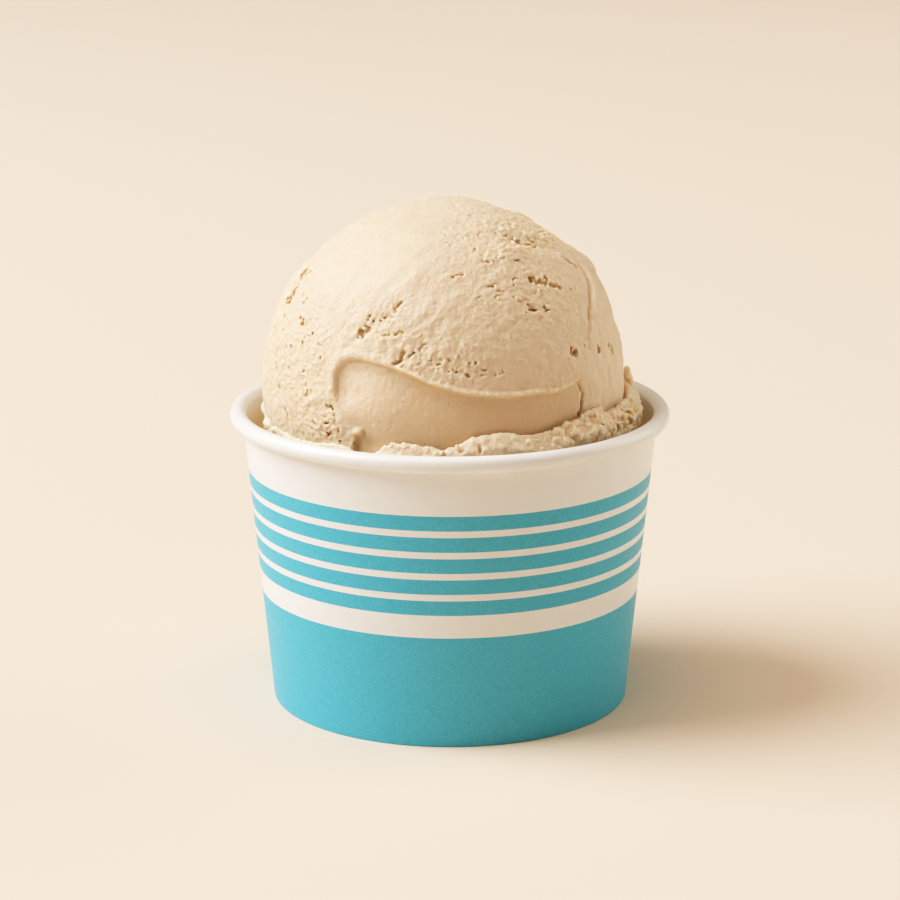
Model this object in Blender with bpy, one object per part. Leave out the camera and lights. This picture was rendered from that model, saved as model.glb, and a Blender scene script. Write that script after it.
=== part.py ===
"""A scoop of gelato in a small striped paper cup, at real size in metres, +Z up.

The origin is the centre of the cup's foot, on the surface that the cup stands on.
Azimuths are in degrees round +Z: 0 faces -Y, the front, and 90 faces +X.
Elevations are in degrees above the level of the scoop's centre.
"""

import math

import bmesh
import bpy
from mathutils import Vector, noise

# The paper cup: a leaning side wall, rolled out at the top and folded in at the foot,
# and a base disc whose edge turns down into that fold.
FOOT_R = 0.0300  # outer radius on the floor
WALL_LEAN = 0.0965  # growth of the radius for each unit of height
PAPER = 0.0004
GAP = 0.0003  # clearance between neighbouring pieces
WALL_TOP_Z = 0.0445  # where the wall starts to bend into the rolled rim
ROLL_R = 0.00132  # radius of the rolled rim's tube
ROLL_CENTRE_R = 0.03543
ROLL_CENTRE_Z = 0.04878
ROLL_END = 222.0  # degrees of the roll, from its top outwards and down
FOLD_H = 0.0042  # height of the foot's folded-in edge
RECESS_H = 0.0052  # underside of the base disc above the floor
BASE_BEND = 0.0008  # radius of the bend between the disc and its edge
CUP_SEGMENTS = 56

# The scoop: a ball of gelato, pressed into the filled cup so that a ragged skirt stands round it.
BALL_R = 0.0302
BALL_CENTRE = Vector((-0.00125, 0.0, 0.0543))
FILL_Z = 0.0430  # level of the filling in the slit between the skirt and the wall
SKIRT_R = 0.0320
SKIRT_SHIFT = 0.0004  # the skirt is this much wider on the right and narrower on the left
SKIRT_LUMPS = 0.0009
SKIRT_LUMP_SPAN = 0.0070
GROOVE = 0.0011  # depth of the groove between the ball and the skirt's crest
SKIRT_CREST = (
    (-180, 0.0520),
    (-130, 0.0505),
    (-85, 0.0509),
    (-72, 0.0489),
    (-35, 0.0499),
    (-8, 0.0496),
    (7, 0.0526),
    (22, 0.0512),
    (55, 0.0532),
    (86, 0.0519),
    (99, 0.0560),
    (116, 0.0518),
    (180, 0.0520),
)  # (azimuth, height) of the crest
GELATO_SEGMENTS = 88
BALL_RINGS = 23

# The smear: a shallow sweep of the spatula across the front, under a thin raised lip.
SMEAR_DEPTH = 0.0012
SMEAR_LEFT = -36.0
SMEAR_RIGHT = 48.0
SMEAR_LIP = 0.0006
SMEAR_TOP = (
    (-36, 11.0),
    (-31, 17.5),
    (-19, 18.0),
    (-7, 13.0),
    (8, 8.5),
    (28, 7.0),
    (48, 8.5),
)  # (azimuth, elevation) of its upper edge

# Folds that the scoop dragged up (height > 0) and bands that it tore (height < 0):
# (start azimuth, elevation), (end azimuth, elevation), height, half-width in degrees.
FOLDS = (
    ((82, 47), (64, 30), 0.0010, 4.5),
    ((64, 30), (49, 12), 0.0006, 4.0),
    ((75, 46), (57, 30), -0.0005, 4.0),
    ((44, 61), (74, 50), -0.0006, 4.0),
    ((-88, 44), (-90, 28), 0.0006, 8.0),
    ((-28, 25), (-17, 37), -0.0004, 3.5),
    ((122, 60), (140, 22), 0.0009, 5.0),
    ((112, 56), (130, 22), -0.0005, 4.5),
    ((-168, 12), (-118, 24), 0.0007, 4.5),
    ((-168, 5), (-118, 17), -0.0006, 4.5),
    ((178, 58), (-142, 48), -0.0006, 4.5),
)
UNEVENNESS = 0.00045
UNEVEN_SPAN = 0.011  # spacing of the ball's low swellings
MERGE = 1e-6


def clear_scene():
    for thing in list(bpy.data.objects):
        bpy.data.objects.remove(thing)


def finish(name, colour, roughness, subsurface=0.0):
    """A Principled material of one colour."""
    material = bpy.data.materials.new(name)
    material.use_nodes = True
    shader = material.node_tree.nodes["Principled BSDF"]
    shader.inputs["Base Color"].default_value = (*colour, 1.0)
    shader.inputs["Roughness"].default_value = roughness
    shader.inputs["Metallic"].default_value = 0.0
    shader.inputs["Subsurface Weight"].default_value = subsurface
    return material


def skinned(name, section, segments, closed, material):
    """Makes the solid whose section at each azimuth is the row of points that section(azimuth) gives.

    A closed section makes a ring. An open one runs from one pole to the other."""
    bm = bmesh.new()
    rows = [[bm.verts.new(point) for point in section(360.0 * step / segments)] for step in range(segments)]
    count = len(rows[0])
    for row, following in zip(rows, rows[1:] + rows[:1]):
        for i in range(count if closed else count - 1):
            j = (i + 1) % count
            bm.faces.new((row[i], row[j], following[j], following[i]))
    bmesh.ops.remove_doubles(bm, verts=bm.verts, dist=MERGE)
    bmesh.ops.recalc_face_normals(bm, faces=bm.faces)
    mesh = bpy.data.meshes.new(name)
    bm.to_mesh(mesh)
    bm.free()
    mesh.shade_smooth()
    mesh.set_sharp_from_angle(angle=math.radians(40))
    mesh.materials.append(material)
    thing = bpy.data.objects.new(name, mesh)
    bpy.context.collection.objects.link(thing)
    return thing


def polar(radius, azimuth, height):
    angle = math.radians(azimuth)
    return Vector((radius * math.sin(angle), -radius * math.cos(angle), height))


def smooth(value, low, high):
    """0 below low, 1 above high, and an S-curve between them."""
    share = min(max((value - low) / (high - low), 0.0), 1.0)
    return share * share * (3.0 - 2.0 * share)


def along(points, azimuth):
    """The value at an azimuth of a curve through (azimuth, value) points, with level ends at each point."""
    for (start, low), (end, high) in zip(points, points[1:]):
        if azimuth <= end:
            return low + (high - low) * smooth(azimuth, start, end)
    return points[-1][1]


def signed(azimuth):
    """The same azimuth between -180 and 180."""
    return (azimuth + 180.0) % 360.0 - 180.0


def wall_radius(height):
    return FOOT_R + WALL_LEAN * height


def arc(centre, radius, start, end, steps):
    """Points (radius, height) round a centre. Angles run from straight up towards the outside."""
    points = []
    for i in range(steps + 1):
        angle = math.radians(start + (end - start) * i / steps)
        points.append((centre[0] + radius * math.sin(angle), centre[1] + radius * math.cos(angle)))
    return points


def cup_sidewall():
    """The wall with its rolled rim and the edge folded in at the foot, as one strip of paper."""
    roll = (ROLL_CENTRE_R, ROLL_CENTRE_Z)
    fold_out = 2.0 * (PAPER + GAP)  # from the wall's outside to the fold's outer face
    fold_in = fold_out + PAPER
    soft = 0.25 * PAPER
    outline = [
        (wall_radius(0.0) - soft, 0.0),
        (wall_radius(soft), soft),
        (wall_radius(WALL_TOP_Z), WALL_TOP_Z),
    ]
    outline += arc(roll, ROLL_R - PAPER, -95.0, ROLL_END, 7)
    outline += reversed(arc(roll, ROLL_R, -95.0, ROLL_END, 10))
    outline += [
        (wall_radius(WALL_TOP_Z) - PAPER, WALL_TOP_Z),
        (wall_radius(PAPER) - PAPER, PAPER),
        (wall_radius(PAPER) - fold_out, PAPER),
        (wall_radius(FOLD_H) - fold_out, FOLD_H),
        (wall_radius(FOLD_H) - fold_in, FOLD_H),
        (wall_radius(soft) - fold_in, soft),
        (wall_radius(0.0) - fold_in + soft, 0.0),
    ]
    paper = finish("printed_paper", (0.18, 0.62, 0.68), 0.55)
    return skinned(
        "cup_sidewall", lambda azimuth: [polar(r, azimuth, z) for r, z in outline], CUP_SEGMENTS, True, paper
    )


def cup_base():
    """The disc of paper that closes the cup, with its edge turned down into the foot's fold."""
    top = RECESS_H + PAPER
    edge_z = PAPER + GAP
    skirt_out = PAPER + GAP
    skirt_in = skirt_out + PAPER
    bend = (wall_radius(top - BASE_BEND) - skirt_out - BASE_BEND, top - BASE_BEND)
    outline = [(0.0, top)]
    outline += arc(bend, BASE_BEND, 0.0, 90.0, 3)
    outline += [(wall_radius(edge_z) - skirt_out, edge_z), (wall_radius(edge_z) - skirt_in, edge_z)]
    outline += reversed(arc(bend, BASE_BEND - PAPER, 0.0, 90.0, 2))
    outline += [(0.0, RECESS_H)]
    paper = finish("white_paper", (0.90, 0.87, 0.82), 0.60)
    return skinned(
        "cup_base", lambda azimuth: [polar(r, azimuth, z) for r, z in outline], CUP_SEGMENTS, False, paper
    )


def direction(azimuth, elevation):
    return polar(math.cos(math.radians(elevation)), azimuth, math.sin(math.radians(elevation)))


def fold_relief(point):
    """The height that the folds and torn bands add at a point of the unit ball."""
    total = 0.0
    for start, end, height, half_width in FOLDS:
        a = direction(*start)
        b = direction(*end)
        share = min(max((point - a).dot(b - a) / (b - a).length_squared, 0.0), 1.0)
        nearest = (a + (b - a) * share).normalized()
        off = math.degrees(point.angle(nearest)) / half_width
        total += height * math.exp(-off * off)
    return total


def smear_relief(azimuth, elevation):
    """The spatula's sweep: deepest close under its upper and left edges, and level with the ball at its right end."""
    below = along(SMEAR_TOP, azimuth) - elevation
    left = smooth(azimuth, SMEAR_LEFT, SMEAR_LEFT + 4.0)
    right = 1.0 - smooth(azimuth, 0.0, SMEAR_RIGHT)
    sweep = smooth(below, 0.0, 3.5) * (1.0 - 0.6 * smooth(below, 4.0, 24.0))
    ends = smooth(azimuth, -24.0, -14.0) * (1.0 - smooth(azimuth, 36.0, 50.0))
    lip = math.exp(-(((below + 1.2) / 2.0) ** 2)) * ends
    return SMEAR_LIP * lip - SMEAR_DEPTH * left * right * sweep


def ball_point(azimuth, elevation):
    """A point of the scoop's surface."""
    unit = direction(azimuth, elevation)
    swell = UNEVENNESS * noise.noise(unit * (BALL_R / UNEVEN_SPAN))
    radius = BALL_R + swell + fold_relief(unit) + smear_relief(azimuth, elevation)
    return BALL_CENTRE + unit * radius


def skirt_crest(azimuth):
    """The height of the skirt's crest, with its uneven edge."""
    ragged = noise.noise(polar(SKIRT_R / SKIRT_LUMP_SPAN, azimuth, 5.0))
    return along(SKIRT_CREST, azimuth) + SKIRT_LUMPS * ragged


def skirt(azimuth, start):
    """The ragged skirt from the groove at start over its crest and down into the slit beside the wall."""
    crest = skirt_crest(azimuth)
    lump = SKIRT_LUMPS * noise.noise(polar(SKIRT_R / SKIRT_LUMP_SPAN, azimuth, 0.0))
    outside = SKIRT_R + SKIRT_SHIFT * math.sin(math.radians(azimuth)) + lump
    inside = math.hypot(start.x, start.y)
    outline = (
        (inside + 0.30 * (outside - inside), crest - 0.45 * GROOVE),
        (inside + 0.62 * (outside - inside), crest),
        (outside - 0.0002, crest - 0.35 * GROOVE),
        (outside, crest - 1.3 * GROOVE),
        (outside - 0.0002, 0.5 * (crest + FILL_Z)),
        (outside - 0.0003, FILL_Z + 0.0008),
        (outside + 0.0003, FILL_Z),
    )
    return [polar(r, azimuth, z) for r, z in outline]


def gelato_section(turn):
    """The scoop's outline at one azimuth: ball, groove, skirt, slit, and the filling down to the base."""
    azimuth = signed(turn)
    groove_z = skirt_crest(azimuth) - GROOVE
    lowest = math.degrees(math.asin((groove_z - BALL_CENTRE.z) / BALL_R))
    steps = range(BALL_RINGS)
    points = [ball_point(azimuth, 90.0 + (lowest - 90.0) * i / (BALL_RINGS - 1)) for i in steps]
    points[0] = ball_point(0.0, 90.0)
    points += skirt(azimuth, points[-1])
    inset = PAPER + GAP
    bottom = RECESS_H + PAPER + GAP
    edge = FILL_Z + 0.0003
    corner = bottom + BASE_BEND
    points += [polar(wall_radius(edge) - inset, azimuth, edge)]
    points += [polar(wall_radius(corner) - inset, azimuth, corner)]
    points += [polar(wall_radius(corner) - inset - BASE_BEND, azimuth, bottom)]
    points += [Vector((0.0, 0.0, bottom))]
    return points


def gelato():
    cream = finish("gelato", (0.72, 0.53, 0.34), 0.45, subsurface=0.2)
    return skinned("gelato", gelato_section, GELATO_SEGMENTS, False, cream)


clear_scene()
cup_sidewall()
cup_base()
gelato()
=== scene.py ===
"""Looks of the gelato cup: a striped paper cup with a scoop of pale gelato pressed into it.

Everything is in metres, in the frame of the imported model: the origin is the centre of the cup's foot.
Azimuths are in degrees round +Z: 0 faces -Y, the front, and 90 faces +X, as in the model's source.
Elevations are in degrees above the level of the scoop's centre.
"""

import itertools
import math

import bmesh
import bpy
import numpy as np
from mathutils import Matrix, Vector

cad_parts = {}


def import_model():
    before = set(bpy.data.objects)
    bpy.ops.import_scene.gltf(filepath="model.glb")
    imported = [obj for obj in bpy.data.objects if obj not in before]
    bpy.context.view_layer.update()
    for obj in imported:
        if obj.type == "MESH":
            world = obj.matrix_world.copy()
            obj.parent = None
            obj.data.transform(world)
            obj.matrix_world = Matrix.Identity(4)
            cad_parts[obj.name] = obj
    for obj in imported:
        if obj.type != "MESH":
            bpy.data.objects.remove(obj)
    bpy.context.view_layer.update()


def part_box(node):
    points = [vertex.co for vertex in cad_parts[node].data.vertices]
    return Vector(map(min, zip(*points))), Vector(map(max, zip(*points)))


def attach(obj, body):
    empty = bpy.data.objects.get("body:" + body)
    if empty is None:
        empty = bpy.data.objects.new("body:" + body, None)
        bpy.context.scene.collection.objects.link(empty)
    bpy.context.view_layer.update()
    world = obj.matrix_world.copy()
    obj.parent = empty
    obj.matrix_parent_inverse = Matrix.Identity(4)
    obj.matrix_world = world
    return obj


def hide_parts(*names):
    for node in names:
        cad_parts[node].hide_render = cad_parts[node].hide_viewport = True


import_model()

import openvdb
from mathutils import Vector, noise

BODY = "root"

# ---- the cup's sizes, as in its solids

FOOT_R = 0.0300
WALL_LEAN = 0.0965
PAPER = 0.0004
GAP = 0.0003
CUP_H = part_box("cup_sidewall")[1].z
RIM_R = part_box("cup_sidewall")[1].x
ROLL_R = 0.00136
ROLL_CENTRE = (RIM_R - ROLL_R, CUP_H - ROLL_R)
ROLL_END = 230.0  # degrees of the rolled rim, from its top outwards and down
BEND_Z = 0.0445  # where the wall starts to bend into the rim
FOLD_H = 0.0042
BASE_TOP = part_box("cup_base")[1].z
BASE_BEND = 0.0008
CUP_SEGMENTS = 240
SEAM = 205.0  # azimuth of the wall's glued seam
SEAM_STEP = 0.00028  # height of the seam's edge
SEAM_WIDTH = 18.0  # degrees over which the seam's outer layer sinks back
SEAM_EDGE = 0.25  # degrees over which its step rises
DENTS = 0.00006  # how far the wall strays from a true cone
DENT_SPAN = 0.018
WALL_ROWS = 12

# The print: heights on the wall.
FIELD_TOP = 0.0191  # the broad field of colour
STRIPES = 5
STRIPE_START = 0.0230
STRIPE_PERIOD = 0.0036
STRIPE_WIDTH = 0.0025

# ---- the scoop's sizes, as in its solid

BALL_R = 0.0302
BALL_CENTRE = np.array((-0.00125, 0.0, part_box("gelato")[1].z - BALL_R))
FILL_Z = 0.0430
SKIRT_R = 0.0320
SKIRT_OUT = (
    (-180, 0.0318), (-120, 0.0316), (-90, 0.0310), (-70, 0.0312), (-40, 0.0318), (-20, 0.0321),
    (60, 0.0323), (85, 0.0320), (120, 0.0320), (180, 0.0318),
)  # (azimuth, radius)
SKIRT_CREST = (
    (-180, 0.0520), (-130, 0.0510), (-100, 0.0514), (-86, 0.0500), (-70, 0.0489), (-50, 0.0486),
    (-34, 0.0492), (-26, 0.0484), (-18, 0.0506), (-6, 0.0506), (1, 0.0506), (5, 0.0517), (9, 0.0524),
    (16, 0.0525), (24, 0.0518), (34, 0.0522), (46, 0.0534), (60, 0.0528), (76, 0.0522), (98, 0.0528),
    (116, 0.0518), (180, 0.0520),
)  # (azimuth, height)
GROOVE = (
    (-180, 0.0010), (-120, 0.0008), (-85, 0.0001), (-30, 0.0001), (-16, 0.0007), (8, 0.0010),
    (45, 0.0008), (62, 0.0009), (80, 0.0018), (102, 0.0018), (125, 0.0012), (180, 0.0010),
)  # (azimuth, depth) of the groove between the ball and the skirt

# Pits and lumps of the skirt: the centre's azimuth, radius and height, and the radii round, up and outwards.
SKIRT_PITS = (
    (99.0, 0.0307, 0.0523, (0.0014, 0.0011, 0.0007)),
    (80.0, 0.0304, 0.0522, (0.0014, 0.0009, 0.0006)),
    (50.0, 0.0316, 0.0513, (0.0006, 0.0004, 0.0008)),
    (58.5, 0.0322, 0.0500, (0.0006, 0.0007, 0.0010)),
    (66.0, 0.0321, 0.0502, (0.0009, 0.0006, 0.0008)),
    (8.6, 0.0320, 0.0508, (0.0003, 0.0012, 0.0004)),
    (-81.0, 0.0314, 0.0497, (0.0006, 0.0004, 0.0006)),
)
SKIRT_LUMPS = (
    (104.6, 0.0312, 0.0524, (0.0014, 0.0012, 0.0008)),
    (105.6, 0.0312, 0.0537, (0.0009, 0.0009, 0.0006)),
    (-87.0, 0.0308, 0.0497, (0.0018, 0.0011, 0.0008)),
    (-90.5, 0.0306, 0.0503, (0.0009, 0.0008, 0.0007)),
    (-75.0, 0.0310, 0.0486, (0.0020, 0.0009, 0.0008)),
)

# ---- the scoop's surface
# Lists of forms start with places as (azimuth, elevation).

SMEAR_DEPTH = 0.0011
SMEAR_RIGHT = 48.5
SMEAR_CORNER = 8.0  # degrees over which the corner is rounded
SMEAR_LIP = 0.00055
SMEAR_LEFT = (
    (-14, -27.0), (-6, -28.5), (-1, -31.5), (4, -34.5), (9, -35.6), (20, -35.2),
)  # (elevation, azimuth)
SMEAR_TOP = (
    (-38, 18.4), (-30, 18.2), (-22, 17.4), (-17, 16.4), (-12, 14.9), (-8, 13.4), (-3.5, 11.5),
    (2, 10.0), (7, 8.7), (12, 8.0), (18, 7.2), (24, 7.0), (30, 7.2), (37, 6.6), (44.5, 8.0), (50, 9.5),
)  # (azimuth, elevation)

# Broad bumps and hollows: place, height, reach in degrees.
SWELLS = (
    ((101, 38), 0.0013, 6.5), ((97, 27), 0.0005, 6.0), ((110, 53), 0.0001, 6.0),
    ((94, 12), 0.0004, 5.0), ((124, 66), -0.0004, 9.0), ((-102, 45), -0.0015, 7.0),
    ((-95, 19), -0.0007, 9.0), ((-91, 3), -0.0004, 7.0), ((-119, 62), -0.0009, 10.0),
    ((95.5, 45.5), 0.0004, 2.2), ((35, 53.5), 0.0003, 5.0), ((-60, 40), 0.0002, 14.0),
    ((52, 10), 0.0003, 6.0), ((150, 45), -0.0004, 14.0), ((-150, 30), 0.0004, 15.0),
)
# Creases and ridges: the path as (azimuth, elevation, strength), the height and the half-width in degrees.
FOLDS = (
    (
        ((83, 42, 0.2), (79.5, 38.5, 0.8), (75.3, 35, 1), (68.3, 31.3, 1), (61.7, 26.2, 0.8),
         (56, 20.5, 0.3), (53.5, 15, 0)),
        -0.0005, 0.75,
    ),
    (((40, 61, 0.3), (52, 57.5, 1), (64, 53.5, 1), (76, 49, 0.2)), -0.0004, 3.2),
    (((34, 48.3, 0.2), (40, 48.8, 1), (50, 47.2, 1), (58, 45, 0.2)), -0.0002, 1.6),
    (((54, 9, 1), (53, 2, 1), (51, -6, 0.6)), 0.0002, 2.4),
    (((47.2, 8, 0.3), (48.8, 4, 1), (48.2, -1, 1), (46.5, -4.5, 0.8), (42, -6.5, 0.2)), -0.0011, 0.55),
    (((-84, 44, 0.8), (-80, 38, 1)), -0.0015, 3.0),
    (((-79, 34.5, 1), (-76, 29, 1)), -0.0018, 3.0),
    (((-74, 20, 1), (-71, 14, 1)), -0.0004, 2.2),
    (((-31, 22, 0.4), (-24, 28.5, 1), (-17, 36, 0.3)), -0.0004, 2.2),
    (((-16, 15.5, 0.4), (-11, 19, 1), (-6, 24, 0.3)), -0.0003, 1.8),
    (((-10, 23.5, 0.3), (-3, 18.6, 1), (6, 15.6, 1), (14, 14, 0.3)), -0.0002, 2.2),
    (((-47, 2, 0.5), (-41, 4.2, 1), (-35.5, 4.5, 0.4)), 0.0003, 1.6),
    (((-13, 27, 0), (-7, 33, 1), (-2, 41, 0)), 0.0002, 1.3),
    (((-9, 26, 0), (-3, 31, 1), (3, 38, 0)), 0.0002, 1.4),
    (((-17, 38, 0), (-12, 45, 1), (-10, 52, 0)), 0.0002, 1.8),
    (((122, 60, 1), (140, 22, 1)), 0.0009, 5.0),
    (((112, 56, 1), (130, 22, 1)), -0.0005, 4.5),
    (((-168, 12, 1), (-118, 24, 1)), 0.0007, 4.5),
    (((-168, 5, 1), (-118, 17, 1)), -0.0006, 4.5),
    (((178, 58, 1), (-142, 48, 1)), -0.0006, 4.5),
)
# Steps, high on the right of the path: the path, the height, and the reach in degrees on each side.
STEPS = (
    (
        ((89, 43, 0.3), (83, 38.8, 0.8), (77.5, 35.2, 1), (70.2, 31.2, 1), (63.4, 26, 0.8),
         (57.6, 20.5, 0.4), (55, 13, 0)),
        0.0006, 4.5, 1.1,
    ),
    (((27, 49.5, 0.2), (33, 49.6, 1), (39, 49.2, 1), (43, 48.6, 0.2)), 0.0002, 5.0, 0.5),
)
UNEVENNESS = 0.00020
UNEVEN_SPAN = 0.011
FLOW_CENTRE = (30.0, 0.0)  # the scoop dragged the surface round this point

# Where the surface is torn and grainy: centre, reach in degrees each way, amount.
ROUGH_ZONES = (
    ((-39, -5), (9, 7), 0.72), ((-72, 18), (16, 20), 0.5), ((-80, 36), (6, 9), 0.6),
    ((-52, 10), (14, 14), 0.45), ((-22, 28), (9, 7), 0.60), ((-3, 17), (9, 6), 0.42),
    ((13, 15), (8, 3), 0.4), ((66, 55), (22, 5), 1.0), ((62, 65), (24, 5), 0.55),
    ((47, 58), (5, 3), 0.6), ((30, 41), (26, 15), 0.22), ((44, 42), (8, 4), 0.45),
    ((-32, 52), (34, 24), -0.20), ((72, 12), (16, 22), -0.15), ((35, 20), (18, 8), -0.10),
)

# Tears in the surface: azimuth and elevation of the start and of the end, and the width and depth
# in tenths of a millimetre.
TENTHS = 10000.0  # in a metre
TEARS = (
    (-29.3, 24.3, -26, 27, 11, 9), (-26.8, 30, -26.3, 31.3, 5, 6), (-24.6, 30.2, -21.4, 29.9, 5, 7),
    (-20.4, 30.3, -17.8, 32.6, 8, 5), (-18.2, 33.8, -15.3, 36.2, 9, 5), (-16.5, 26.3, -13, 27.2, 6, 5),
    (-21, 25.3, -17.8, 25.8, 4, 4), (-14.6, 17, -11.9, 20.4, 9, 7), (-12.6, 16.2, -12.3, 16.8, 4, 4),
    (-10.6, 19.4, -8, 21.4, 5, 5), (-8, 21.4, -5.6, 24, 4, 4), (0.3, 18.9, 3, 18.6, 4, 4),
    (2, 15.5, 5.2, 15.3, 4, 5), (7, 16.2, 9.6, 17.9, 5, 4), (10, 17.8, 11.4, 17, 4, 4),
    (7.3, 14.3, 9, 14, 6, 6), (12.3, 15.6, 13.8, 15.4, 4, 4), (12.4, 13.6, 13.6, 14.2, 4, 4),
    (16.9, 13.4, 19.6, 14.4, 4, 5), (-1.5, 17.6, -0.5, 18.5, 6, 4), (-3.8, 18.4, -2.8, 19.3, 4, 4),
    (-3.9, 12.8, -3.1, 13.2, 4, 3), (42.5, 59.8, 50.5, 56.6, 18, 7), (54.5, 55.6, 61, 53.6, 7, 6),
    (61, 55, 64, 53, 5, 4), (38.8, 42.4, 47.5, 40.6, 11, 10), (48.8, 39.8, 53, 37.6, 8, 8),
    (70.5, 47, 75, 41.8, 7, 7), (32.6, 33.2, 36.2, 32.2, 8, 10), (30.6, 32.2, 31.8, 32.3, 5, 6),
    (39.6, 32.4, 41.6, 31.4, 6, 7), (28.5, 41.4, 30.3, 41.2, 4, 4), (30.3, 43.4, 33, 42.8, 4, 5),
    (19.3, 41.9, 22.2, 41.6, 5, 5), (3.2, 45.6, 9.8, 46.2, 3, 4), (13, 37.4, 14.5, 38, 4, 4),
    (21, 38.2, 22.4, 38, 4, 4), (22.4, 40, 25.2, 39.3, 4, 3), (28.3, 37.2, 31, 35.6, 4, 4),
    (31.2, 38.6, 32, 38.6, 4, 5), (2, 62.2, 3.4, 62.4, 5, 4), (12, 62.5, 15.5, 62.4, 4, 4),
    (20, 62.2, 28, 62.7, 5, 4), (27, 73.4, 34, 73.8, 4, 3), (2.4, 59, 3.6, 59, 4, 4),
    (34.5, 49.8, 38.5, 49.3, 5, 6), (28, 51.8, 31.2, 51.3, 4, 3), (19.5, 50.8, 25.5, 50.4, 4, 4),
    (16.5, 56.3, 18.6, 55.8, 3, 3), (37.5, 62.6, 44, 62.4, 5, 4), (45.5, 27.6, 48.6, 26.4, 3, 4),
    (57.6, 36.5, 57.2, 28.5, 3, 3), (61.2, 36.8, 61.8, 35.2, 4, 4), (38, 37.6, 42.5, 38, 3, 3),
    (-81.5, 34.5, -78.5, 29.5, 16, 8), (-78, 33, -76.5, 30.5, 10, 9), (-86, 43.5, -82, 38.5, 16, 8),
    (-71, 26.6, -69.3, 24.6, 6, 6), (-64.5, 35, -62.5, 32.5, 5, 4), (-68.5, 39.5, -67.3, 37.8, 6, 3),
    (-58, 27.2, -56, 25, 5, 5), (-67, 21.5, -65.4, 19.8, 4, 4), (-52.5, 21, -48.5, 23, 5, 4),
    (-44.8, 20.4, -43, 19.9, 5, 4), (-42.8, 17.2, -41.9, 15.8, 5, 4), (-71, 17.2, -69.6, 14.2, 7, 5),
    (-65.6, 10.2, -64, 7.2, 7, 6), (-58.6, 18.4, -57.8, 16.6, 4, 4), (-57.5, 12, -56.8, 10.4, 4, 4),
    (-49, 11.2, -48.2, 9.8, 4, 4), (-47, 7.4, -46.4, 5.6, 5, 5), (-47.2, 4.4, -46.8, 3.4, 5, 6),
    (-44.8, 7.4, -44.4, 5.2, 3, 3), (-58.4, 3.4, -57.2, 2.8, 4, 3), (-57.4, -2.6, -56.8, -5, 6, 7),
    (-37, 1.6, -35.2, 2, 8, 9), (-43.4, -3.6, -41.2, -4.6, 6, 8), (-38.6, -3.4, -36.2, -2.8, 5, 7),
    (-33.4, -4.4, -32.8, -5.8, 5, 6), (-38, -6.4, -36.4, -6.9, 6, 6), (-34.2, -8.2, -33, -8.8, 5, 5),
    (46.2, 18, 47, 17.5, 13, 18), (48, 17.3, 48.6, 16.6, 10, 10), (43.5, 15.4, 43.6, 15.2, 4, 4),
    (60.3, 15.9, 60.5, 15.3, 12, 22), (71, 15.4, 71.2, 12.4, 10, 11), (53, 19.6, 53.2, 17.4, 3, 3),
    (40, 17.1, 40.1, 16.9, 3, 3), (33.8, 14.6, 34.4, 14.3, 4, 4), (48, 5.4, 48.7, 3.4, 4, 5),
    (48.7, 1.4, 48.2, -0.6, 4, 5), (47.4, -2, 46.8, -3.4, 8, 9), (45, -4.6, 42.6, -6, 4, 5),
)
# Bands strewn with rows of small tears: from and to, how many, and the greatest width of one.
TORN_BANDS = (
    ((50, 66), (88, 62), 26, 0.0005), ((52, 58), (86, 52), 24, 0.0007), ((8, 57), (34, 49), 10, 0.0003),
    ((10, 44), (46, 34), 16, 0.0003), ((-78, 30), (-44, 4), 26, 0.0004),
    ((-46, 1), (-31, -10), 12, 0.00042), ((-12, 24), (8, 12), 14, 0.0004),
    ((104, 56), (138, 36), 26, 0.0011), ((120, 30), (158, 14), 22, 0.0008),
    ((150, 52), (178, 34), 20, 0.0010), ((-178, 28), (-140, 12), 22, 0.0009),
    ((-142, 44), (-108, 26), 24, 0.0009), ((-128, 16), (-98, 0), 18, 0.0007),
)

# More tears, on the left flank, made after the bands.
FLANK_TEARS = (
    (-73.5, 36, -71, 31, 14, 7), (-70.5, 41, -72, 37.5, 10, 6), (-59, 33, -60, 31, 6, 5),
    (-55, 26.5, -56.2, 24.5, 6, 5), (-46, 6, -46.5, 3, 6, 5), (-62, 4, -62.5, 1, 7, 5),
)

# ---- how the surface is worked out

CELL = 0.0002  # spacing of the grid that the gelato's surface is read from
BAND = 3.5 * CELL
MAP_STEP = 0.3  # degrees between the points of the scoop's relief
MAP_LOW = -32.0
TRIANGLES = 196000  # in each of the gelato's two pieces
FINEST_TEAR = 0.00042
EDGE_CRUMB = (0.00012, 0.00024)  # least and greatest radius of a crumb on a tear's edge
RAGGED_SPAN = 0.00052  # width of the ragged edges of a tear
RELIEF_REACH = 0.0022  # the surface strays less than this from the plain ball, outwards
RELIEF_DEPTH = 0.0028  # and less than this either way
HOLLOW_REACH = 0.0006  # half the side of the cube that tells a hollow, on the scoop
SCOOP_CUT = 0.0440  # the scoop is level below this, inside the filling
CORE_R = 0.0262  # the filling is plain nearer the axis than this
CORE_TOP = 0.0465
FILL_CUT = 0.0419  # below this, the filling is hidden and has a plain side
SKIRT_BOX_R = 0.0346
SKIRT_BOX_Z = (0.0408, 0.0572)
SKIRT_LIMITS = (0.0344, 0.0565)  # greatest radius and height that are worked out
SKIRT_HOLLOW_REACH = 0.0009
SKIRT_FALL = 0.0022  # how far the skirt sinks from its crest to its outer edge
SKIRT_CRUMBS = 900
SKIRT_CRUMB = 0.00014  # least radius of a crumb strewn on the skirt
SKIRT_CRUMB_MORE = 0.00024  # how much larger the largest is
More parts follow.
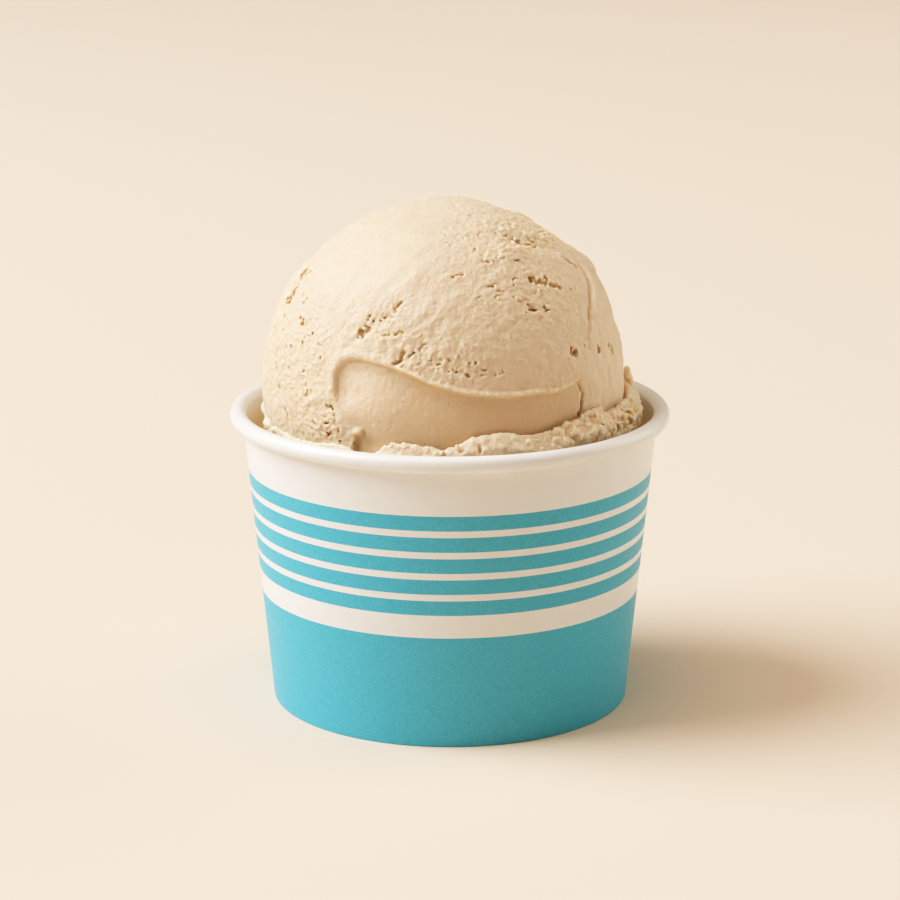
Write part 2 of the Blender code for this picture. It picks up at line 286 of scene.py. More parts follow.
CRUMBLY = (
    (-180, 0.8), (-110, 0.7), (-95, 0.6), (-48, 0.5), (-30, 0.15), (-18, 0.4), (2, 0.45), (8, 0.25),
    (20, 0.15), (28, 0.55), (45, 0.8), (62, 1.0), (78, 0.8), (90, 0.3), (104, 0.3), (125, 0.8),
    (180, 0.8),
)  # (azimuth, how crumbly the skirt is)
# Layers of noise: height, span, and how far the pattern is shifted.
CRUMB_HEAPS = ((0.00034, 0.0011, 0.0), (0.00024, 0.0006, 20.0))
CRUMB_GRIT = ((0.00010, 0.0005, 0.0),)
MOTTLE = ((0.00009, 0.0019, 0.0), (0.00012, 0.00085, 3.0), (0.00008, 0.0005, 5.0))
SKIRT_SIDE = ((0.00045, 0.0038, 0.0), (0.00030, 0.0017, 9.0))
SKIRT_EDGE = ((0.00050, 0.0036, 3.0), (0.00030, 0.0012, 7.0))
SKIRT_HEAPS = ((0.00052, 0.0016, 0.0), (0.00042, 0.0008, 20.0))
SKIRT_FOLDS = ((0.00035, (0.0042, 0.0042, 0.0022), 4.0),)
SKIRT_GRIT = ((0.00007, 0.0007, 0.0),)
FILLING_GRAIN = ((0.0002, 0.0022, 0.0),)
HEAP_MEAN = 0.4
DRAG_LINES = 0.00010  # heights of the lines that the scoop dragged
FINE_DRAG_LINES = 0.00004
UPRIGHT_LINES = 0.00020
SEED = 5

# ---- the camera and the light

LENS = 124.0
SENSOR = 36.0
EYE = (0.0, -0.5041, 0.1733)
TILT = 14.6  # degrees that the camera looks down
LIT_PLACE = Vector((0.0, 0.0, 0.05))  # what the lights point at
LIGHT_DISTANCE = 2.5
LIGHTS = (
    ("key", -88.0, 42.0, 2.0, 70.0, (0.943, 0.964, 1.0)),
    ("fill", 112.0, 20.0, 2.0, 17.6, (1.0, 0.975, 0.857)),
    ("top", -45.0, 80.0, 2.6, 24.5, (1.0, 0.775, 0.602)),
)  # (name, azimuth, elevation, size, power, colour)
SURROUNDINGS = (1.0, 0.85, 0.71)
SURROUNDINGS_STRENGTH = 0.12
FLOOR_R = 4.0
FILM_POINTS = 14
FILM_RANGE = 1.25
FILM_CONTRAST = 1.42
FILM_SHOULDER = 0.458
FILM_WHITE = 1.29


def wall_radius(height):
    return FOOT_R + WALL_LEAN * height


def off_wall(inset, height):
    """A point (radius, height) so far inwards from the wall's outside."""
    return wall_radius(height) - inset, height


def polar(radius, azimuth, height):
    angle = math.radians(azimuth)
    return Vector((radius * math.sin(angle), -radius * math.cos(angle), height))


# ---- the cup

def arc(centre, radius, start, end, steps):
    """Points (radius, height) round a centre. Angles run from straight up towards the outside."""
    points = []
    for i in range(steps + 1):
        angle = math.radians(start + (end - start) * i / steps)
        points.append((centre[0] + radius * math.sin(angle), centre[1] + radius * math.cos(angle)))
    return points


def bands():
    """The heights where the print changes, from the foot up, and whether the wall is coloured above each."""
    edges = [(0.0, True), (FIELD_TOP, False)]
    for i in range(STRIPES):
        start = STRIPE_START + i * STRIPE_PERIOD
        edges += [(start, True), (start + STRIPE_WIDTH, False)]
    return edges


def printed(height):
    """Whether the wall is coloured just above a height."""
    return [coloured for edge, coloured in bands() if edge <= height + 1e-7][-1]


def wall_heights():
    """Rows on the wall's outside: each edge of the print and even steps between the foot and the bend."""
    edges = [edge for edge, coloured in bands() if edge > 0.0]
    even = [BEND_Z * i / WALL_ROWS for i in range(1, WALL_ROWS + 1)]
    spare = [z for z in even if min(abs(z - edge) for edge in edges) > 0.0006]
    return sorted(edges + spare)


def cup_sidewall(print_finish, paper_finish, lining_finish):
    """The wall with its rolled rim and the edge folded in at the foot, as one strip of paper."""
    fold_out = 2.0 * (PAPER + GAP)  # from the wall's outside to the fold's outer face
    fold_in = fold_out + PAPER
    crease = 0.5 * PAPER
    heel = (wall_radius(crease) - crease, crease)
    toe = (wall_radius(crease) - fold_in + crease, crease)
    outside = arc(heel, crease, 180.0, 90.0, 4) + [off_wall(0.0, z) for z in wall_heights()]
    roll = arc(ROLL_CENTRE, ROLL_R - PAPER, -95.0, ROLL_END, 28)
    roll += reversed(arc(ROLL_CENTRE, ROLL_R, -95.0, ROLL_END, 36))
    inside = [off_wall(PAPER, z) for z in (BEND_Z, 0.5 * BEND_Z, FOLD_H, PAPER)]
    fold = [off_wall(fold_out, z) for z in (PAPER, FOLD_H)]
    fold += [off_wall(fold_in, z) for z in (FOLD_H, 2.0 * PAPER)]
    fold += reversed(arc(toe, crease, 180.0, 270.0, 3))
    outline = outside + roll + inside + fold
    finishes = [0 if i < len(outside) - 1 and printed(outline[i][1]) else 1 for i in range(len(outline))]
    lined = len(outside) + len(roll) - 1
    finishes[lined : lined + len(inside)] = [2] * len(inside)
    wall = turned("cup_wall", outline, finishes, True, print_finish, paper_finish, lining_finish)
    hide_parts("cup_sidewall")


def cup_base(paper_finish):
    """The disc that closes the cup, with its edge turned down into the foot's fold."""
    top = BASE_TOP
    underside = top - PAPER
    edge_z = PAPER + GAP
    skirt_out = PAPER + GAP
    skirt_in = skirt_out + PAPER
    bend = (wall_radius(top - BASE_BEND) - skirt_out - BASE_BEND, top - BASE_BEND)
    outline = [(0.0, top), (0.5 * bend[0], top)] + arc(bend, BASE_BEND, 0.0, 90.0, 8)
    outline += [off_wall(skirt_out, edge_z), off_wall(skirt_in, edge_z)]
    outline += reversed(arc(bend, BASE_BEND - PAPER, 0.0, 90.0, 6))
    outline += [(0.5 * bend[0], underside), (0.0, underside)]
    disc = turned("cup_disc", outline, [0] * len(outline), False, paper_finish)
    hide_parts("cup_base")


def seam_step(azimuth):
    """The height of the seam's outer layer: a step at its edge that sinks back over its width."""
    past = (azimuth - SEAM) % 360.0
    if past > SEAM_WIDTH:
        return 0.0
    return SEAM_STEP * min(past / SEAM_EDGE, 1.0) * (1.0 - past / SEAM_WIDTH)


def stray(azimuth, radius, height):
    """How far a point of the cup lies outside the true turned shape."""
    place = polar(radius / DENT_SPAN, azimuth, 0.4 * height / DENT_SPAN)
    dent = DENTS * noise.noise(place) * min(height / FOLD_H, 1.0)
    outer = radius > wall_radius(height) - 0.25 * PAPER
    return dent + (seam_step(azimuth) if outer else 0.0)


def turned(name, outline, finishes, closed, *materials):
    """Turns an outline of (radius, height) points round the cup's axis.

    A closed outline makes a ring, and an open one runs from the axis back to it. finishes holds the
    material's number for the stretch after each point."""
    azimuths = [360.0 * i / CUP_SEGMENTS for i in range(CUP_SEGMENTS)] + [SEAM + SEAM_EDGE]
    bm = bmesh.new()
    rows = []
    for a in sorted(azimuths):
        rows.append([bm.verts.new(polar(r + stray(a, r, z) * (r > 0.0), a, z)) for r, z in outline])
    count = len(outline)
    for row, following in zip(rows, rows[1:] + rows[:1]):
        for i in range(count if closed else count - 1):
            j = (i + 1) % count
            face = bm.faces.new((row[i], row[j], following[j], following[i]))
            face.material_index = finishes[i]
    bmesh.ops.remove_doubles(bm, verts=bm.verts, dist=1e-7)
    bmesh.ops.recalc_face_normals(bm, faces=bm.faces)
    mesh = bpy.data.meshes.new(name)
    bm.to_mesh(mesh)
    bm.free()
    mesh.shade_smooth()
    mesh.set_sharp_from_angle(angle=math.radians(40))
    thing = add_object(name, mesh, *materials)
    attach(thing, BODY)
    return thing


def cup():
    print_finish = print_material()
    paper_finish = paper_material("white_board", 0.0)
    # the lining is a copy of the board with painted warm shade, for the shade and bounced light inside the
    # cup
    lining_finish = paper_material("white_board_inside_painted_shade", 0.9)
    cup_sidewall(print_finish, paper_finish, lining_finish)
    cup_base(paper_finish)


# ---- noise

def permutation_table(seed):
    table = np.random.default_rng(seed).permutation(256).astype(np.int32)
    return np.concatenate([table, table])


def gradient_table(seed):
    table = np.random.default_rng(seed).normal(size=(256, 3))
    return (table / np.linalg.norm(table, axis=1)[:, None]).astype(np.float32)


PERMUTATION = permutation_table(11)
GRADIENTS = gradient_table(12)


def lattice_noise(points):
    """Smooth noise, mostly within -1 and 1, at an (n, 3) array of points. Its swells are about 1 wide."""
    points = np.asarray(points, np.float32)
    cell = np.floor(points).astype(np.int32)
    part = points - cell
    cell &= 255
    fade = part * part * part * (part * (part * 6.0 - 15.0) + 10.0)
    total = np.zeros(len(points), np.float32)
    for corner in itertools.product((0, 1), repeat=3):
        x, y, z = [(cell[:, i] + corner[i]) & 255 for i in range(3)]
        gradient = GRADIENTS[PERMUTATION[PERMUTATION[PERMUTATION[x] + y] + z]]
        weight = np.ones(len(points), np.float32)
        slope = np.zeros(len(points), np.float32)
        for i in range(3):
            weight *= fade[:, i] if corner[i] else 1.0 - fade[:, i]
            slope += (part[:, i] - corner[i]) * gradient[:, i]
        total += weight * slope
    return 1.6 * total


def heaped(points):
    """Noise of round heaps with sharp gaps between them, 0 in the gaps and up to about 1."""
    return 1.6 * np.abs(lattice_noise(points))


def layers(points, rows):
    """The sum of layers of smooth noise."""
    return sum(height * lattice_noise(points / span + shift) for height, span, shift in rows)


def heaps(points, rows):
    """The sum of layers of heaped noise, which is 0 on the whole."""
    return sum(height * (heaped(points / span + shift) - HEAP_MEAN) for height, span, shift in rows)


# ---- the scoop's form

def smooth(value, low, high):
    """0 below low, 1 above high, and an S-curve between them."""
    share = np.clip((value - low) / (high - low), 0.0, 1.0)
    return share * share * (3.0 - 2.0 * share)


def curve(points, place):
    """The values at places of a smooth curve through (place, value) points, level beyond its ends."""
    x, y = np.array(points, float).T
    slope = np.gradient(y, x)
    place = np.clip(place, x[0], x[-1])
    i = np.clip(np.searchsorted(x, place, side="right") - 1, 0, len(x) - 2)
    width = x[i + 1] - x[i]
    share = (place - x[i]) / width
    left = 1.0 - share
    start = left * left * ((1.0 + 2.0 * share) * y[i] + share * width * slope[i])
    end = share * share * ((1.0 + 2.0 * left) * y[i + 1] - left * width * slope[i + 1])
    return start + end


def direction(azimuth, elevation):
    """Unit vectors, one in each row, for azimuths and elevations in degrees."""
    a, e = np.radians(azimuth), np.radians(elevation)
    return np.stack([np.sin(a) * np.cos(e), -np.cos(a) * np.cos(e), np.sin(e) * np.ones_like(a)], -1)


def unit_vector(vector):
    return vector / np.linalg.norm(vector)


def angles(unit):
    azimuth = np.degrees(np.arctan2(unit[..., 0], -unit[..., 1]))
    return azimuth, np.degrees(np.arcsin(np.clip(unit[..., 2], -1.0, 1.0)))


def off_path(unit, path):
    """Degrees from a path of (azimuth, elevation, strength), and its side and strength there.

    The side is 1 to the right of the path, going along it, and -1 to the left.
    """
    nearest = np.full(len(unit), 180.0)
    side = np.ones(len(unit))
    strength = np.zeros(len(unit))
    for (*start, first), (*end, last) in zip(path, path[1:]):
        a, b = direction(*start), direction(*end)
        share = np.clip((unit - a) @ (b - a) / ((b - a) @ (b - a)), 0.0, 1.0)
        point = a + np.outer(share, b - a)
        point /= np.linalg.norm(point, axis=1)[:, None]
        off = np.degrees(np.arccos(np.clip((unit * point).sum(1), -1.0, 1.0)))
        here = off < nearest
        nearest = np.where(here, off, nearest)
        side = np.where(here, np.sign(unit @ np.cross(b, a)), side)
        strength = np.where(here, first + (last - first) * share, strength)
    return nearest, side, strength


def hump(off, reach):
    return np.exp(-((off / reach) ** 2))


def smear_inside(azimuth, elevation):
    """Degrees inside the sweep's upper and left edges, below 0 outside them."""
    below = curve(SMEAR_TOP, azimuth) - elevation
    inward = azimuth - curve(SMEAR_LEFT, elevation)
    return soft_min(below, inward, SMEAR_CORNER)


def smear_relief(azimuth, elevation, unit):
    """The spatula's sweep across the front, under its thin beaded lip."""
    inside = smear_inside(azimuth, elevation)
    right = 1.0 - 0.72 * smooth(azimuth, -10.0, 30.0)
    left = smooth(azimuth - 0.6 * elevation, -38.0, -10.0)
    foot = smooth(elevation, 0.0, 8.0) * (1.0 - left) + left
    end = 1.0 - smooth(azimuth, SMEAR_RIGHT - 2.5, SMEAR_RIGHT)
    edge = 0.65 * smooth(inside, 0.0, 0.9) + 0.35 * smooth(inside, 0.2, 4.0)
    sweep = edge * (1.0 - 0.72 * smooth(inside, 1.5, 15.0))
    front = smooth(azimuth, -19.0, -8.0)
    reach = 1.3 - 0.65 * front
    beads = 0.80 + 0.75 * lattice_noise(unit * 42.0) * smooth(azimuth, 4.0, 10.0)
    lip = hump(inside + 0.85 * reach, reach) * (1.0 - smooth(azimuth, 36.0, 50.0))
    lip = lip * (0.55 + 0.45 * front) * beads * smooth(elevation, 2.0, 8.0)
    return SMEAR_LIP * lip - SMEAR_DEPTH * right * foot * end * sweep


def smeared(azimuth, elevation):
    """1 on the spatula's sweep and 0 off it."""
    return smooth(smear_inside(azimuth, elevation), -0.6, 0.8) * (1.0 - smooth(azimuth, 46.0, 48.5))


def roughness(unit):
    """How torn the surface is, from 0 where it is swept smooth to 1."""
    azimuth, elevation = angles(unit)
    hidden = smooth(np.abs(azimuth + 5.0), 95.0, 125.0)
    patches = np.clip(0.30 + 0.6 * lattice_noise(unit * 3.0 + 40.0), 0.05, 0.8)
    total = 0.16 * (1.0 - hidden) + patches * hidden
    for centre, reach, amount in ROUGH_ZONES:
        sideways = (azimuth - centre[0]) * math.cos(math.radians(centre[1])) / reach[0]
        total += amount * np.exp(-(sideways**2) - ((elevation - centre[1]) / reach[1]) ** 2)
    return np.clip(total * (1.0 - smeared(azimuth, elevation)), 0.0, 1.0)


def form_relief(unit):
    """The height of the scoop's broad forms over the plain ball."""
    azimuth, elevation = angles(unit)
    total = UNEVENNESS * lattice_noise(unit * (BALL_R / UNEVEN_SPAN))
    total += smear_relief(azimuth, elevation, unit)
    for place, height, reach in SWELLS:
        off = np.degrees(np.arccos(np.clip(unit @ direction(*place), -1.0, 1.0)))
        total += height * hump(off, reach)
    for path, height, half_width in FOLDS:
        off, side, strength = off_path(unit, path)
        total += height * strength * hump(off, half_width)
    for path, height, left, right in STEPS:
        off, side, strength = off_path(unit, path)
        total += height * strength * np.where(side > 0.0, hump(off, right), hump(off, left))
    return total


def streaks(unit):
    """Drag lines round the point that the scoop turned about, and upright ones on the right side."""
    azimuth, elevation = angles(unit)
    pole = direction(*FLOW_CENTRE)
    side = np.cross(pole, (0.0, 0.0, 1.0))
    over = np.cross(side, pole)
    reach = np.degrees(np.arccos(np.clip(unit @ pole, -1.0, 1.0)))
    turn = np.arctan2(unit @ over, unit @ side)
    rings = np.stack([np.cos(turn) * 4.0, np.sin(turn) * 4.0, reach / 3.2], -1)
    fine = lattice_noise(rings * (2.5, 2.5, 2.2) + 9.0)
    wrinkle = DRAG_LINES * lattice_noise(rings) + FINE_DRAG_LINES * fine
    wrinkle *= smooth(reach, 20.0, 36.0)
    upright = np.stack([azimuth / 5.0, elevation / 26.0, np.zeros_like(azimuth)], -1)
    right = smooth(azimuth, 46.0, 58.0) * (1.0 - smooth(azimuth, 100.0, 120.0))
    right *= 1.0 - smooth(elevation, 24.0, 34.0)
    wrinkle = wrinkle * (1.0 - right) + UPRIGHT_LINES * lattice_noise(upright) * right
    return wrinkle * (1.0 - smeared(azimuth, elevation))


def grain_relief(unit):
    """The height of the scoop's fine grain: crumbs where it is torn, and a low mottle elsewhere."""
    azimuth, elevation = angles(unit)
    place = unit * BALL_R
    rough = roughness(unit)
    crumbs = heaps(place, CRUMB_HEAPS) + layers(place, CRUMB_GRIT)
    polish = smooth(elevation, 26.0, 40.0) * smooth(22.0 - azimuth, 0.0, 34.0)
    polish = polish * smooth(azimuth + 76.0, 0.0, 16.0)
    calm = 1.0 - 0.70 * np.maximum(polish, 0.6 * smeared(azimuth, elevation))
    return rough * crumbs + calm * layers(place, MOTTLE) + streaks(unit)


class Relief:
    """The scoop's relief as a map over azimuth and elevation."""

    def __init__(self):
        azimuths = np.arange(-180.0, 180.0 + 0.5 * MAP_STEP, MAP_STEP)
        elevations = np.arange(MAP_LOW, 90.0 + 0.5 * MAP_STEP, MAP_STEP)
        a, e = np.meshgrid(azimuths, elevations)
        unit = direction(a.ravel(), e.ravel())
        self.forms = form_relief(unit).reshape(a.shape).astype(np.float32)
        self.height = self.forms + grain_relief(unit).reshape(a.shape).astype(np.float32)

    def at(self, unit, table):
        """Values read from one of the maps at unit vectors."""
        azimuth, elevation = angles(unit)
        column = (azimuth + 180.0) / MAP_STEP
        row = np.maximum((elevation - MAP_LOW) / MAP_STEP, 0.0)
        i = np.minimum(row.astype(np.int32), table.shape[0] - 2)
        j = np.minimum(column.astype(np.int32), table.shape[1] - 2)
        down, across = row - i, column - j
        upper = table[i, j] * (1.0 - across) + table[i, j + 1] * across
        lower = table[i + 1, j] * (1.0 - across) + table[i + 1, j + 1] * across
        return upper * (1.0 - down) + lower * down


# ---- volumes

def soft_min(a, b, blend):
    """The smaller of two distances, rounded where they are within blend of each other."""
    h = np.maximum(blend - np.abs(a - b), 0.0) / blend
    return np.minimum(a, b) - 0.25 * blend * h * h


class Volume:
    """Signed distances to a surface on a grid of cubes, below 0 inside it."""

    def __init__(self, low, high):
        self.axes = [np.arange(start, end, CELL, dtype=np.float32) for start, end in zip(low, high)]
        self.field = np.full([len(axis) for axis in self.axes], BAND, np.float32)

    def points(self, chosen):
        """The coordinates of the grid's points that the mask chosen picks."""
        return np.stack([axis[index] for axis, index in zip(self.axes, np.nonzero(chosen))], -1)

    def blob(self, centre, frame_axes, radii, ragged=0.0):
        """The part of the grid round an ellipsoid, and the distances to the ellipsoid there."""
        reach = max(radii) + BAND
        spans = []
        for axis, middle in zip(self.axes, centre):
            spans.append(slice(*np.searchsorted(axis, (middle - reach, middle + reach))))
        away = [axis[span] - middle for axis, span, middle in zip(self.axes, spans, centre)]
        grid = np.meshgrid(*away, indexing="ij")
        share = 0.0
        steepness = 0.0
        for axis, radius in zip(frame_axes, radii):
            coordinate = (grid[0] * axis[0] + grid[1] * axis[1] + grid[2] * axis[2]) / radius
            share = share + coordinate**2
            steepness = steepness + (coordinate / radius) ** 2
        share = np.sqrt(share)
        distance = share * (share - 1.0) / np.sqrt(np.maximum(steepness, 1e-12))
        distance = np.where(share < 0.05, -min(radii), distance)
        if ragged and distance.size:
            place = np.stack([axis.ravel() for axis in grid], -1) + centre
            distance = distance + ragged * lattice_noise(place / RAGGED_SPAN).reshape(distance.shape)
        return tuple(spans), distance

    def join(self, centre, frame_axes, radii, blend):
        spans, distance = self.blob(centre, frame_axes, radii)
        self.field[spans] = soft_min(self.field[spans], distance, blend)

    def carve(self, centre, frame_axes, radii, blend, ragged=0.0):
        spans, distance = self.blob(centre, frame_axes, radii, ragged)
        self.field[spans] = -soft_min(-self.field[spans], distance, blend)

    def mesh(self, name):
        grid = openvdb.FloatGrid(BAND)
        grid.copyFromArray(np.clip(self.field, -BAND, BAND))
        points, quads = grid.convertToQuads(isovalue=0.0)
        points = points * CELL + np.array([axis[0] for axis in self.axes])
        mesh = bpy.data.meshes.new(name)
        mesh.from_pydata(points.tolist(), [], quads[:, ::-1].tolist())
        return mesh

    def closeness(self, points, reach):
        """The share of a cube of side 2 x reach round each point that is filled: more in a hollow."""
        filled = np.clip(0.5 - self.field / CELL, 0.0, 1.0)
        half = round(reach / CELL)
        for axis in range(3):
            total = np.cumsum(filled, axis=axis, dtype=np.float32)
            size = filled.shape[axis]
            ahead = np.take(total, np.minimum(np.arange(size) + half, size - 1), axis=axis)
            behind = np.take(total, np.maximum(np.arange(size) - half - 1, 0), axis=axis)
            filled = (ahead - behind) / (2 * half + 1)
        index = []
        for i in range(3):
            place = np.round((points[:, i] - self.axes[i][0]) / CELL).astype(np.int32)
            index.append(np.clip(place, 0, len(self.axes[i]) - 1))
        return filled[tuple(index)]


def tangent_axes(unit, heading):
    """Three axes on the ball at a direction: along heading, across it, and outwards."""
    level = unit_vector(np.array((-unit[1], unit[0], 0.0)))
    climb = np.cross(unit, level)
    turn = math.radians(heading)
    first = level * math.cos(turn) + climb * math.sin(turn)
    return first, np.cross(unit, first), unit


def flow_heading(unit):
    """The way that the scoop dragged the surface, in degrees above level."""
    azimuth, elevation = angles(unit)
    return math.degrees(math.atan2(FLOW_CENTRE[0] - azimuth, elevation - FLOW_CENTRE[1]))


def surface(relief, unit):
    """The point of the scoop's surface in a direction, without its grain."""
    return BALL_CENTRE + unit * (BALL_R + relief.at(unit, relief.forms))


def tear(volume, relief, draw, start, end, width, depth):
    """A ragged tear along the arc from start to end, with crumbs on its edges."""
    width = max(width, FINEST_TEAR)
    first, last = direction(*start), direction(*end)
    step = last - first
    length = np.linalg.norm(step) * BALL_R
    count = max(2, round(length / (0.38 * width)))
    across = unit_vector(np.cross(first, step))
    for i in range(count):
        share = (i + draw.uniform(0.25, 0.75)) / count
        unit = unit_vector(first + step * share + across * draw.normal() * 0.26 * width / BALL_R)
        swerve = across * draw.normal() * 0.3 * np.linalg.norm(step)
        forward = unit_vector(step - unit * (step @ unit) + swerve)
        across_here = np.cross(unit, forward)
        half = 0.5 * width * draw.uniform(0.62, 1.1)
        radii = (half * draw.uniform(0.9, 1.5), half, depth * draw.uniform(0.6, 1.0))
        centre = surface(relief, unit) - unit * 0.1 * radii[2]
        volume.carve(centre, (forward, across_here, unit), radii, 0.00010, 0.3 * width)
    for i in range(round(1.3 * length / width) + 1):
        share = draw.uniform(-0.1, 1.1)
        side = draw.choice((-1.0, 1.0)) * draw.uniform(0.2, 0.9) * width / BALL_R
        unit = unit_vector(first + step * share + across * side)
        size = draw.uniform(*EDGE_CRUMB)
        place = surface(relief, unit) - unit * draw.uniform(0.0, 1.0) * size
        axes = tangent_axes(unit, draw.uniform(0.0, 180.0))
        volume.join(place, axes, (size * 1.5, size, size), 0.00020)


def tears(volume, relief, draw, rows):
    for *ends, width, depth in rows:
        tear(volume, relief, draw, ends[:2], ends[2:], width / TENTHS, depth / TENTHS)


def torn_band(volume, relief, draw, first, last, count, width):
    """Small tears strewn over a band, most of them in line with the drag of the scoop."""
    for i in range(count):
        azimuth = first[0] + (last[0] - first[0]) * draw.random()
        elevation = first[1] + (last[1] - first[1]) * draw.random()
        heading = math.radians(flow_heading(direction(azimuth, elevation)) + draw.normal() * 16.0)
        own_width = width * draw.uniform(0.5, 1.0)
        reach = math.degrees(own_width * draw.uniform(0.5, 2.2) / BALL_R)
        sideways = reach * math.cos(heading) / math.cos(math.radians(elevation))
        end = (azimuth + sideways, elevation + reach * math.sin(heading))
        tear(volume, relief, draw, (azimuth, elevation), end, own_width, own_width * draw.uniform(0.7, 1.1))


def scoop():
    """The ball of gelato, level where it is sunk in the filling."""
    draw = np.random.default_rng(SEED)
    relief = Relief()
    reach = BALL_R + RELIEF_REACH
    low = BALL_CENTRE - reach
    low[2] = SCOOP_CUT - 2.0 * BAND
    volume = Volume(low, BALL_CENTRE + reach)
    x, y, z = np.ix_(*[axis - centre for axis, centre in zip(volume.axes, BALL_CENTRE.astype(np.float32))])
    from_ball = np.sqrt(x**2 + y**2 + z**2) - BALL_R
    volume.field = np.clip(from_ball, -BAND, BAND)
    near = np.abs(from_ball) < RELIEF_DEPTH
    away = volume.points(near) - BALL_CENTRE.astype(np.float32)
    length = np.linalg.norm(away, axis=1)
    height = relief.at(away / length[:, None], relief.height)
    volume.field[near] = np.clip(length - BALL_R - height, -BAND, BAND)
    tears(volume, relief, draw, TEARS)
    for band in TORN_BANDS:
        torn_band(volume, relief, draw, *band)
    tears(volume, relief, draw, FLANK_TEARS)
    droplet(volume, relief)
    level = SCOOP_CUT - volume.axes[2]
    volume.field = np.maximum(volume.field, level[None, None, :])
    mesh = volume.mesh("gelato_scoop")
    points = mesh_points(mesh)
    away = points - BALL_CENTRE
    unit = away / np.linalg.norm(away, axis=1)[:, None]
    # the hollow value drives painted shade in the scoop's hollows and a painted highlight on its crests
    store(mesh, "hollow", volume.closeness(points, HOLLOW_REACH) - 0.5)
    store(mesh, "torn", roughness(unit))
    azimuth, elevation = angles(unit)
    store(mesh, "swept", smeared(azimuth, elevation) * (0.3 + 0.7 * smooth(azimuth, -30.0, 0.0)))
    gelato_piece("gelato_scoop", mesh)


def droplet(volume, relief):
    """The bead at the sweep's lower left corner, with the hollow under it."""
    unit = direction(-26.8, -9.8)
    volume.carve(surface(relief, unit), tangent_axes(unit, 0.0), (0.0010, 0.0017, 0.00045), 0.0004)
    unit = direction(-27.0, -4.8)
    volume.join(surface(relief, unit), tangent_axes(unit, 15.0), (0.0009, 0.0006, 0.0006), 0.0006)


def crumbly(azimuth):
    """How crumbly the skirt is, from 0 where it is creamy to 1."""
    return curve(CRUMBLY, azimuth)


def skirt_distance(points):
    """Distances to the ragged skirt and the filling below it."""
    azimuth = np.degrees(np.arctan2(points[:, 0], -points[:, 1]))
    radius = np.hypot(points[:, 0], points[:, 1])
    outside = curve(SKIRT_OUT, azimuth) + layers(points, SKIRT_SIDE)
    ring = direction(azimuth, 0.0) * SKIRT_R
    crest = curve(SKIRT_CREST, azimuth) + layers(ring, SKIRT_EDGE) * (0.25 + 0.75 * crumbly(azimuth))
    from_ball = np.linalg.norm(points - BALL_CENTRE, axis=1) - BALL_R
    width = np.maximum(outside - radius + from_ball, 0.0006)
    share = np.clip(from_ball / width, -0.2, 1.4)
    inner = curve(GROOVE, azimuth) * np.clip(1.0 - share / 0.35, 0.0, 1.0) ** 1.5
    outer = SKIRT_FALL * np.clip((share - 0.25) / 0.75, 0.0, 1.5) ** 1.4
    crumbs = crumbly(azimuth) * heaps(points, SKIRT_HEAPS) + layers(points, SKIRT_FOLDS)
    crumbs = crumbs + layers(points, SKIRT_GRIT)
    top = (points[:, 2] - (crest - inner - outer)) * 0.8 - crumbs
    skirt = np.maximum(top, radius - outside - 0.7 * crumbs)
    level = FILL_Z + layers(points, FILLING_GRAIN)
    filling = np.maximum(points[:, 2] - level, radius - (wall_radius(points[:, 2]) - PAPER - GAP))
    return soft_min(skirt, filling, 0.0008)


def skirt_crumbs(volume, draw):
    """Crumbs strewn on the skirt."""
    for i in range(SKIRT_CRUMBS):
        azimuth = draw.uniform(-180.0, 180.0)
        crest = float(curve(SKIRT_CREST, azimuth))
        radius = float(curve(SKIRT_OUT, azimuth))
        depth = draw.uniform(0.0, 1.0) ** 1.6
        inward = draw.uniform(0.0, 1.0) ** 2 * 0.0018
        height = crest - 0.0002 - depth * 0.0060
        place = polar(radius - inward * (1.0 - depth), azimuth, height)
        if draw.random() > 0.15 + float(crumbly(azimuth)):
            continue
        size = SKIRT_CRUMB + SKIRT_CRUMB_MORE * draw.random() ** 2
        axes = tangent_axes(direction(azimuth, 0.0), draw.uniform(0.0, 180.0))
        radii = (size * draw.uniform(1.0, 1.9), size, size * draw.uniform(0.8, 1.2))
        volume.join(place, axes, radii, 0.00030)


def skirt():
    """The filling and the ragged skirt that the scoop pushed up round itself."""
    draw = np.random.default_rng(SEED + 1)
    low, high = SKIRT_BOX_Z
    volume = Volume((-SKIRT_BOX_R, -SKIRT_BOX_R, low), (SKIRT_BOX_R, SKIRT_BOX_R, high))
    x, y, z = np.ix_(*volume.axes)
    radius = np.hypot(x, y)
    volume.field[(radius <= CORE_R) & (z < CORE_TOP)] = -BAND
    ring = (radius > CORE_R) & (radius < SKIRT_LIMITS[0]) & (z < SKIRT_LIMITS[1])
    volume.field[ring] = np.clip(skirt_distance(volume.points(ring)), -BAND, BAND)
    for azimuth, radius, height, radii in SKIRT_LUMPS:
        axes = tangent_axes(direction(azimuth, 0.0), 0.0)
        volume.join(polar(radius, azimuth, height), axes, radii, 0.0004)
    skirt_crumbs(volume, draw)
    for azimuth, radius, height, radii in SKIRT_PITS:
        axes = tangent_axes(direction(azimuth, 0.0), 0.0)
        volume.carve(polar(radius, azimuth, height), axes, radii, 0.0001, 0.00015)
    mesh = volume.mesh("gelato_skirt")
    points = mesh_points(mesh)
    # shifted and stretched so that more of the skirt's top gets the painted highlight and its hollows the
    # painted shade
    store(mesh, "hollow", 1.35 * (volume.closeness(points, SKIRT_HOLLOW_REACH) - 0.53))
    azimuth = np.degrees(np.arctan2(points[:, 0], -points[:, 1]))
    store(mesh, "torn", crumbly(azimuth))
    close_below(gelato_piece("gelato_skirt", mesh).data)


def mesh_points(mesh):
    """The mesh's points as an (n, 3) array."""
    points = np.empty(len(mesh.vertices) * 3, np.float32)
    mesh.vertices.foreach_get("co", points)
    return points.reshape(-1, 3)


def store(mesh, name, values):
    attribute = mesh.attributes.new(name, "FLOAT", "POINT")
    attribute.data.foreach_set("value", values.astype(np.float32))


